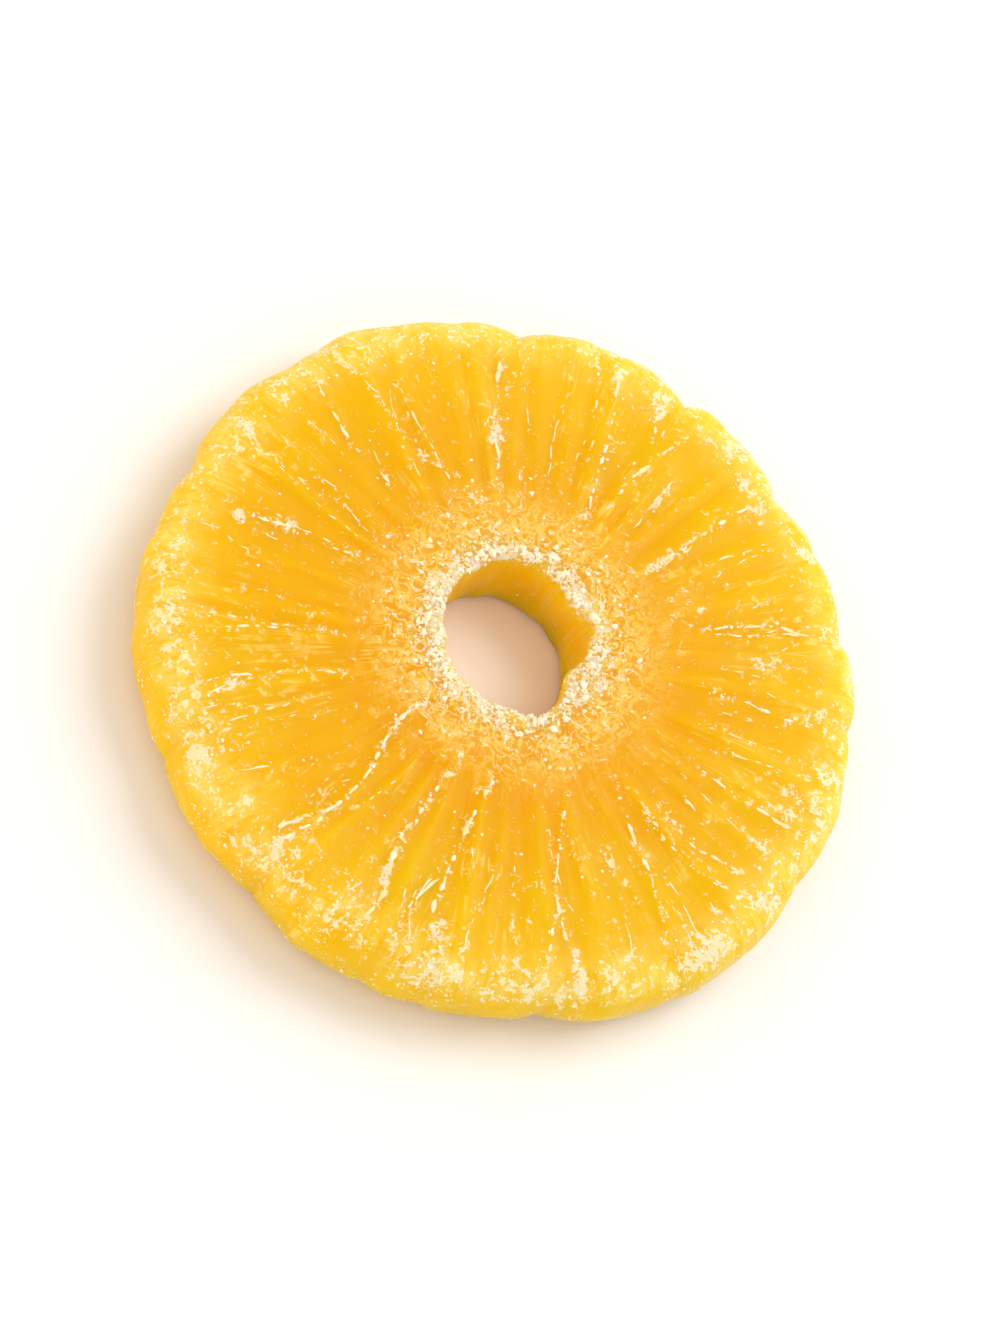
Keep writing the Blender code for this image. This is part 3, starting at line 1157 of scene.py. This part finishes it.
class NodeGraph:
    """A material's nodes, made one by one round its Principled shader."""

    def __init__(self, name: str) -> None:
        """Starts a material.

        Args:
            name: The material's name.
        """
        self.material = bpy.data.materials.new(name)
        self.material.use_nodes = True
        self.tree = self.material.node_tree
        self.shader = self.tree.nodes["Principled BSDF"]

    def add(self, kind: str, inputs: dict[str | int, object] | None = None,
            **settings: object) -> bpy.types.Node:
        """Adds a node.

        Args:
            kind: Its type, without the ShaderNode before it.
            inputs: A socket or a fixed value for each of its inputs.
            settings: Its own settings.

        Returns:
            The node.
        """
        node = self.tree.nodes.new(f"ShaderNode{kind}")
        for name, value in settings.items():
            setattr(node, name, value)
        for name, value in (inputs or {}).items():
            self.feed(node.inputs[name], value)
        return node

    def feed(self, socket: bpy.types.NodeSocket, value: object) -> None:
        """Links a socket to an input, or sets it to a fixed value.

        Args:
            socket: The input.
            value: The socket or the value that it takes.
        """
        if isinstance(value, bpy.types.NodeSocket):
            self.tree.links.new(value, socket)
        else:
            socket.default_value = value

    def math(self, operation: str, *values: object) -> bpy.types.NodeSocket:
        """Does a sum, such as MULTIPLY, on sockets or numbers."""
        return self.add("Math", dict(enumerate(values)), operation=operation).outputs[0]

    def mix(self, factor: object, first: object, second: object) -> bpy.types.NodeSocket:
        """Mixes two colours.

        Args:
            factor: The share of the second.
            first: The first colour or socket.
            second: The second.

        Returns:
            The mixed colour.
        """
        node = self.add("Mix", data_type="RGBA", clamp_factor=True)
        for index, value in ((0, factor), (6, first), (7, second)):
            self.feed(node.inputs[index], (*value, 1.0) if isinstance(value, tuple) else value)
        return node.outputs[2]

    def rise(self, value: object, low: object, high: object, top: float = 1.0) -> bpy.types.NodeSocket:
        """Rises smoothly from 0 at low to top at high.

        Args:
            value: The socket to judge.
            low: Where the rise starts.
            high: Where it ends.
            top: The highest outcome.

        Returns:
            The outcome.
        """
        inputs = {"Value": value, "From Min": low, "From Max": high, "To Min": 0.0, "To Max": top}
        return self.add("MapRange", inputs, interpolation_type="SMOOTHSTEP").outputs[0]

    def noise(self, vector: object, speckle: Speckle) -> bpy.types.NodeSocket:
        """Noise between 0 and 1.

        Args:
            vector: Where it is read.
            speckle: The pattern.

        Returns:
            The noise.
        """
        inputs = {"Vector": vector, "Scale": speckle.scale, "Detail": speckle.detail,
                  "Roughness": speckle.roughness, "Distortion": speckle.distortion}
        return self.add("TexNoise", inputs).outputs["Fac"]

    def share(self, name: str) -> bpy.types.NodeSocket:
        """A share that the mesh carries for each point."""
        return self.add("Attribute", attribute_name=name).outputs["Fac"]

    def bump(self, height: object, strength: float, distance: float,
             normal: object = None) -> bpy.types.NodeSocket:
        """Roughens the surface's shading.

        Args:
            height: The height pattern.
            strength: How strongly it shows.
            distance: Its height in metres.
            normal: An earlier bump to build on.

        Returns:
            The roughened normal.
        """
        inputs = {"Height": height, "Strength": strength, "Distance": distance}
        if normal is not None:
            inputs["Normal"] = normal
        return self.add("Bump", inputs).outputs["Normal"]


class RingGraph(NodeGraph):
    """A material's nodes, with the ring's own coordinates: place, radius and direction from the middle."""

    def __init__(self, name: str) -> None:
        """Starts a material and reads the ring's coordinates.

        Args:
            name: The material's name.
        """
        super().__init__(name)
        self.place = self.add("TexCoord").outputs["Object"]
        parts = self.add("SeparateXYZ", {0: self.place}).outputs
        flat = self.add("CombineXYZ", {0: parts["X"], 1: parts["Y"]}).outputs[0]
        self.radius = self.add("VectorMath", {0: flat}, operation="LENGTH").outputs["Value"]
        around = self.add("VectorMath", {0: flat}, operation="NORMALIZE").outputs["Vector"]
        self.towards = self.add("SeparateXYZ", {0: around}).outputs

    def speckled(self, speckle: Speckle) -> bpy.types.NodeSocket:
        """Noise spread evenly over the ring."""
        return self.noise(self.place, speckle)

    def rayed(self, ray: Ray) -> bpy.types.NodeSocket:
        """Noise drawn out along the radius.

        Args:
            ray: The pattern.

        Returns:
            The noise.
        """
        sides = [self.math("MULTIPLY", self.towards[axis], ray.waves) for axis in ("X", "Y")]
        outwards = self.math("MULTIPLY", self.radius, ray.outwards)
        place = self.add("CombineXYZ", {0: sides[0], 1: sides[1], 2: outwards}).outputs[0]
        return self.noise(place, ray.speckle)

    def line_of(self, pattern: bpy.types.NodeSocket, thinness: float) -> bpy.types.NodeSocket:
        """Lines where a noise crosses its middle.

        Args:
            pattern: The noise.
            thinness: How quickly a line fades beside its middle.

        Returns:
            1 in the middle of a line, less beside it.
        """
        away = self.math("ABSOLUTE", self.math("SUBTRACT", pattern, 0.5))
        return self.math("SUBTRACT", 1.0, self.math("MULTIPLY", away, thinness))


@dataclass(frozen=True)
class CandiedFlesh:
    """Glassy yellow flesh, deep orange towards the hole, with streaks, a pale bloom and white granules, and a
    brighter painted glow on the hole's wall.

    The edges say where a pattern starts to show and where it shows fully. A bump is its strength and height.
    """

    amber: Colour = (0.81, 0.36, 0.001)
    golden: Colour = (0.83, 0.43, 0.001)
    lemon: Colour = (0.83, 0.49, 0.002)
    cream: Colour = (0.93, 0.72, 0.19)
    # Painted glow: a brighter yellow for the hole's wall, standing in for light that shines through the flesh.
    painted_glow_wall: Colour = (0.98, 0.55, 0.002)
    sugar: Colour = (0.97, 0.81, 0.60)
    glow_depth: float = 12.0 * MM
    glow_colour: Colour = (1.0, 0.70, 0.15)
    shine: float = 0.06
    roughness: float = 0.28
    sugar_roughness: float = 0.30
    streaks: Ray = Ray(22.0, 110.0, Speckle(1.0, 3.0, 0.6, 0.4))
    streak_warmth: float = 0.7
    warm_edges: tuple[float, float] = (0.05, 0.95)
    lemon_zone: tuple[float, float] = (19.0 * MM, 34.0 * MM)
    lemon_edges: tuple[float, float] = (0.2, 1.1)
    broad: Speckle = Speckle(42.0, 1.0)
    broad_weight: float = 1.3
    clouds: Speckle = Speckle(130.0)
    cloud_weight: float = 1.2
    least_lemon: float = -1.2
    threads: Ray = Ray(60.0, 230.0, Speckle(1.0, 2.0, 0.6, 0.5))
    wisps: Speckle = Speckle(280.0, 3.0, 0.6, 0.6)
    thread_share: float = 0.4
    veil_edges: tuple[float, float] = (0.32, 0.62)
    bloom_strength: float = 0.9
    curls: Speckle = Speckle(750.0, 2.0, 0.6, 1.0)
    curl_thinness: float = 7.0
    curl_edges: tuple[float, float] = (0.35, 0.9)
    curl_strength: float = 0.75
    filaments: Ray = Ray(26.0, 60.0, Speckle(1.0, 2.0, 0.5, 0.3))
    filament_thinness: float = 16.0
    filament_edges: tuple[float, float] = (0.2, 0.9)
    filament_strength: float = 0.55
    clusters: Speckle = Speckle(170.0)
    cluster_edges: tuple[float, float] = (0.45, 0.62)
    breaks: Speckle = Speckle(520.0, 2.0, 0.6)
    break_edges: tuple[float, float] = (0.42, 0.60)
    pores: Speckle = Speckle(1100.0, 1.0)
    pore_edges: tuple[float, float] = (0.64, 0.76)
    pore_strength: float = 0.7
    specks: Speckle = Speckle(1100.0, 2.0, 0.6)
    speck_edges: tuple[float, float] = (0.28, 0.72)
    speck_share: float = 0.5
    granule_reach: float = 0.66
    granule_softness: float = 0.12
    granule_strength: float = 0.85
    skin: Speckle = Speckle(420.0, 3.0, 0.6)
    skin_bump: tuple[float, float] = (0.35, 0.25 * MM)
    thread_bump: tuple[float, float] = (0.20, 0.20 * MM)
    granule_bump: tuple[float, float] = (0.6, 0.22 * MM)

    def bare_flesh(self, graph: RingGraph, threads: bpy.types.NodeSocket) -> bpy.types.NodeSocket:
        """Colours flesh from amber at the hole to lemon at the rim, with a painted glow on the hole's wall,
        under pale veils.

        Args:
            graph: The material's nodes.
            threads: The pattern of fine threads.

        Returns:
            The colour.
        """
        least = -self.streak_warmth / 2.0
        streaked = graph.math("MULTIPLY_ADD", graph.rayed(self.streaks), self.streak_warmth, least)
        warmth = graph.math("ADD", graph.share("warmth"), streaked)
        clouded = graph.math("MULTIPLY_ADD", graph.speckled(self.clouds), self.cloud_weight, self.least_lemon)
        uneven = graph.math("MULTIPLY_ADD", graph.speckled(self.broad), self.broad_weight, clouded)
        lightness = graph.math("ADD", graph.rise(graph.radius, *self.lemon_zone), uneven)
        flesh = graph.mix(graph.rise(warmth, *self.warm_edges), self.golden, self.amber)
        flesh = graph.mix(graph.rise(lightness, *self.lemon_edges), flesh, self.lemon)
        # Paints the hole's wall brighter, as glow from light shining through the flesh.
        flesh = graph.mix(graph.share("painted_glow_wall"), flesh, self.painted_glow_wall)
        wisps = graph.math("MULTIPLY", graph.speckled(self.wisps), 1.0 - self.thread_share)
        veils = graph.math("MULTIPLY_ADD", threads, self.thread_share, wisps)
        bloom = graph.math("MULTIPLY", graph.share("bloom"), graph.rise(veils, *self.veil_edges))
        return graph.mix(graph.math("MULTIPLY", bloom, self.bloom_strength), flesh, self.cream)

    def marked_flesh(self, graph: RingGraph, flesh: bpy.types.NodeSocket,
                     curls: bpy.types.NodeSocket) -> bpy.types.NodeSocket:
        """Adds the crust's curls, broken filaments and pores in cream.

        Args:
            graph: The material's nodes.
            flesh: The bare flesh's colour.
            curls: The lines of the curly crust.

        Returns:
            The colour.
        """
        curled = graph.math("MULTIPLY", graph.rise(curls, *self.curl_edges), graph.share("core"))
        flesh = graph.mix(graph.math("MULTIPLY", curled, self.curl_strength), flesh, self.cream)
        lines = graph.line_of(graph.rayed(self.filaments), self.filament_thinness)
        filaments = graph.rise(lines, *self.filament_edges)
        clusters = graph.rise(graph.speckled(self.clusters), *self.cluster_edges)
        broken = graph.math("MULTIPLY", clusters, graph.rise(graph.speckled(self.breaks), *self.break_edges))
        strands = graph.math("MULTIPLY", filaments, broken)
        flesh = graph.mix(graph.math("MULTIPLY", strands, self.filament_strength), flesh, self.cream)
        pores = graph.rise(graph.speckled(self.pores), *self.pore_edges, self.pore_strength)
        return graph.mix(graph.math("MULTIPLY", pores, clusters), flesh, self.cream)

    def material(self) -> bpy.types.Material:
        """Makes the finish.

        Returns:
            The material.
        """
        graph = RingGraph("glassy_candied_flesh")
        threads = graph.rayed(self.threads)
        curls = graph.line_of(graph.speckled(self.curls), self.curl_thinness)
        flesh = self.marked_flesh(graph, self.bare_flesh(graph, threads), curls)

        specks = graph.rise(graph.speckled(self.specks), *self.speck_edges)
        curled = graph.math("MULTIPLY", curls, 1.0 - self.speck_share)
        pattern = graph.math("MULTIPLY_ADD", specks, self.speck_share, curled)
        granules = graph.share("granules")
        bare = graph.math("MULTIPLY_ADD", granules, -self.granule_reach, 1.0)
        softly = [graph.math(way, bare, self.granule_softness) for way in ("SUBTRACT", "ADD")]
        sugared = graph.rise(pattern, *softly)
        colour = graph.mix(graph.math("MULTIPLY", sugared, self.granule_strength), flesh, self.sugar)
        rough = graph.bump(graph.speckled(self.skin), *self.skin_bump)
        rough = graph.bump(threads, *self.thread_bump, rough)
        rough = graph.bump(graph.math("MULTIPLY", pattern, granules), *self.granule_bump, rough)

        dullness = graph.math("MULTIPLY_ADD", sugared, self.sugar_roughness, self.roughness)
        inputs = graph.shader.inputs
        graph.feed(inputs["Base Color"], colour)
        graph.feed(inputs["Roughness"], dullness)
        graph.feed(inputs["Normal"], rough)
        inputs["Subsurface Weight"].default_value = 1.0
        inputs["Subsurface Radius"].default_value = self.glow_colour
        inputs["Subsurface Scale"].default_value = self.glow_depth
        inputs["Specular IOR Level"].default_value = self.shine
        return graph.material


@dataclass(frozen=True)
class SugarFinish:
    """Sugar in grains or along a fibre: nearly white, with a little of the syrup's yellow in it."""

    name: str
    white: Colour = (1.0, 0.92, 0.74)
    syrup: Colour = (1.0, 0.76, 0.34)
    syrup_share: float = 0.5
    roughness: float = 0.38
    shine: float = 0.3
    syrup_spots: Speckle = Speckle(900.0, 1.0)
    spot_edges: tuple[float, float] = (0.35, 0.68)
    facets: Speckle = Speckle(3200.0)
    facet_bump: tuple[float, float] = (0.3, 0.08 * MM)

    def material(self) -> bpy.types.Material:
        """Makes the finish.

        Returns:
            The material.
        """
        graph = NodeGraph(self.name)
        place = graph.add("TexCoord").outputs["Object"]
        tint = graph.rise(graph.noise(place, self.syrup_spots), *self.spot_edges)
        colour = graph.mix(graph.math("MULTIPLY", tint, self.syrup_share), self.white, self.syrup)
        graph.feed(graph.shader.inputs["Base Color"], colour)
        graph.shader.inputs["Roughness"].default_value = self.roughness
        graph.shader.inputs["Specular IOR Level"].default_value = self.shine
        graph.feed(graph.shader.inputs["Normal"], graph.bump(graph.noise(place, self.facets), *self.facet_bump))
        return graph.material


@dataclass(frozen=True)
class SoftLight:
    """A square softbox that faces the ring."""

    name: str
    azimuth: float
    elevation: float
    distance: float
    size: float
    power: float
    tint: Colour = (1.0, 1.0, 1.0)

    def build(self) -> bpy.types.Object:
        """Hangs the softbox.

        Returns:
            The light.
        """
        data = bpy.data.lights.new(self.name, "AREA")
        data.shape = "SQUARE"
        data.size = self.size
        data.energy = self.power
        data.color = self.tint
        turn, rise = math.radians(self.azimuth), math.radians(self.elevation)
        towards = Vector((math.cos(turn) * math.cos(rise), math.sin(turn) * math.cos(rise), math.sin(rise)))
        light = bpy.data.objects.new(self.name, data)
        light.location = towards * self.distance
        light.rotation_mode = "QUATERNION"
        light.rotation_quaternion = towards.to_track_quat("Z", "Y")
        bpy.context.scene.collection.objects.link(light)
        return light


@dataclass(frozen=True)
class Studio:
    """A plain white sheet and soft light all round, strongest from behind on the right."""

    floor_size: float = 3.0
    floor_gap: float = 0.05 * MM
    sheet: Colour = (0.93, 0.93, 0.93)
    sheet_roughness: float = 0.9
    sheet_shine: float = 0.1
    sky: Colour = (1.0, 0.97, 0.93)
    sky_strength: float = 0.79
    lights: tuple[SoftLight, ...] = (
        SoftLight("key_softbox", 60.0, 50.0, 0.9, 0.6, 4.4, (0.95, 0.98, 1.0)),
        SoftLight("warm_bounce", 225.0, 20.0, 0.5, 0.3, 0.7, (1.0, 0.66, 0.24)),
    )

    def build(self) -> None:
        """Lays the floor, hangs the lights and sets the sky."""
        scene = bpy.context.scene
        half = self.floor_size / 2.0
        mesh = bpy.data.meshes.new("white_sheet")
        corners = [(-half, -half), (half, -half), (half, half), (-half, half)]
        mesh.from_pydata([(x, y, -self.floor_gap) for x, y in corners], [], [(0, 1, 2, 3)])
        floor = bpy.data.objects.new("white_sheet", mesh)
        scene.collection.objects.link(floor)
        graph = NodeGraph("white_paper")
        graph.shader.inputs["Base Color"].default_value = (*self.sheet, 1.0)
        graph.shader.inputs["Roughness"].default_value = self.sheet_roughness
        graph.shader.inputs["Specular IOR Level"].default_value = self.sheet_shine
        mesh.materials.append(graph.material)
        for light in self.lights:
            light.build()
        world = bpy.data.worlds.new("soft_sky")
        world.use_nodes = True
        sky = world.node_tree.nodes["Background"]
        sky.inputs["Color"].default_value = (*self.sky, 1.0)
        sky.inputs["Strength"].default_value = self.sky_strength
        scene.world = world
        scene.view_settings.view_transform = "Standard"


class Framing(Enum):
    """How near the picture is cropped round the ring, as a share of the photograph's scale."""

    AS_PHOTOGRAPHED = 1.0
    CLOSE = 2.2


@dataclass(frozen=True)
class PhotoCamera:
    """The photograph's viewpoint, found from the ring's outline and the tilt of its face."""

    elevation: float = 62.0
    roll: float = 36.4
    distance: float = 0.600
    focal_pixels: float = 2624.0
    frame: tuple[int, int] = (1000, 1333)
    ring_at: tuple[float, float] = (622.75, 668.2)
    sensor: float = 36.0
    clip: tuple[float, float] = (0.01, 10.0)

    def build(self, centre: Vector, framing: Framing) -> bpy.types.Object:
        """Sets up the camera.

        Args:
            centre: The middle of the ring, half way up it.
            framing: How near the picture is cropped.

        Returns:
            The camera.
        """
        rise, roll = math.radians(self.elevation), math.radians(self.roll)
        back = Vector((0.0, -math.cos(rise), math.sin(rise)))
        level, steep = Vector((1.0, 0.0, 0.0)), Vector((0.0, math.sin(rise), math.cos(rise)))
        right = math.cos(roll) * level + math.sin(roll) * steep
        up = math.cos(roll) * steep - math.sin(roll) * level
        shown_right = (self.ring_at[0] - self.frame[0] / 2) / self.focal_pixels * self.distance
        shown_up = (self.frame[1] / 2 - self.ring_at[1]) / self.focal_pixels * self.distance
        eye = centre - shown_right * right - shown_up * up + self.distance * back
        if framing is not Framing.AS_PHOTOGRAPHED:
            back = (eye - centre).normalized()
            right = (right - right.dot(back) * back).normalized()
            up = back.cross(right)

        data = bpy.data.cameras.new("photo_camera")
        data.sensor_width = self.sensor
        data.lens = self.focal_pixels * self.sensor / self.frame[1] * framing.value
        data.clip_start, data.clip_end = self.clip
        camera = bpy.data.objects.new("photo_camera", data)
        camera.matrix_world = Matrix((
            (right.x, up.x, back.x, eye.x),
            (right.y, up.y, back.y, eye.y),
            (right.z, up.z, back.z, eye.z),
            (0.0, 0.0, 0.0, 1.0),
        ))
        bpy.context.scene.collection.objects.link(camera)
        bpy.context.scene.camera = camera
        return camera


def hand_over(piece: bpy.types.Object, finish: bpy.types.Material) -> None:
    """Dresses a piece, lets it ride on the ring's body and reports it.

    Args:
        piece: The piece.
        finish: Its material.
    """
    piece.data.materials.append(finish)
    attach(piece, BODY)
    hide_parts(RING_NODE)
    triangles = sum(len(face.vertices) - 2 for face in piece.data.polygons)
    LOG.info("%s: %d triangles", piece.name, triangles)


def main() -> None:
    """Builds the ring, its fibres and its sugar, then the studio and the camera."""
    logging.basicConfig(level=logging.INFO, format="%(name)s: %(message)s")
    form = SliceForm()
    plan = FibrePlan(form)
    flesh = FleshRing(form, plan, SugarCover(form))
    ring = flesh.build()
    hand_over(ring, CandiedFlesh().material())

    fibre_finish = SugarFinish(
        "sugared_fibre", white=(1.0, 0.88, 0.62), syrup=(1.0, 0.68, 0.18), syrup_share=0.7, roughness=0.55,
    ).material()
    for face in Face:
        hand_over(FibreThreads(plan, flesh, ring, face).build(), fibre_finish)
    grain_finish = SugarFinish("sugar_grain").material()
    for batch in GRAIN_BATCHES:
        hand_over(SugarGrains(batch, flesh, ring).build(), grain_finish)

    Studio().build()
    centre = Vector((-flesh.middle[0], -flesh.middle[1], form.thickness / 2.0))
    PhotoCamera().build(centre, Framing.CLOSE)


if __name__ == "__main__":
    main()
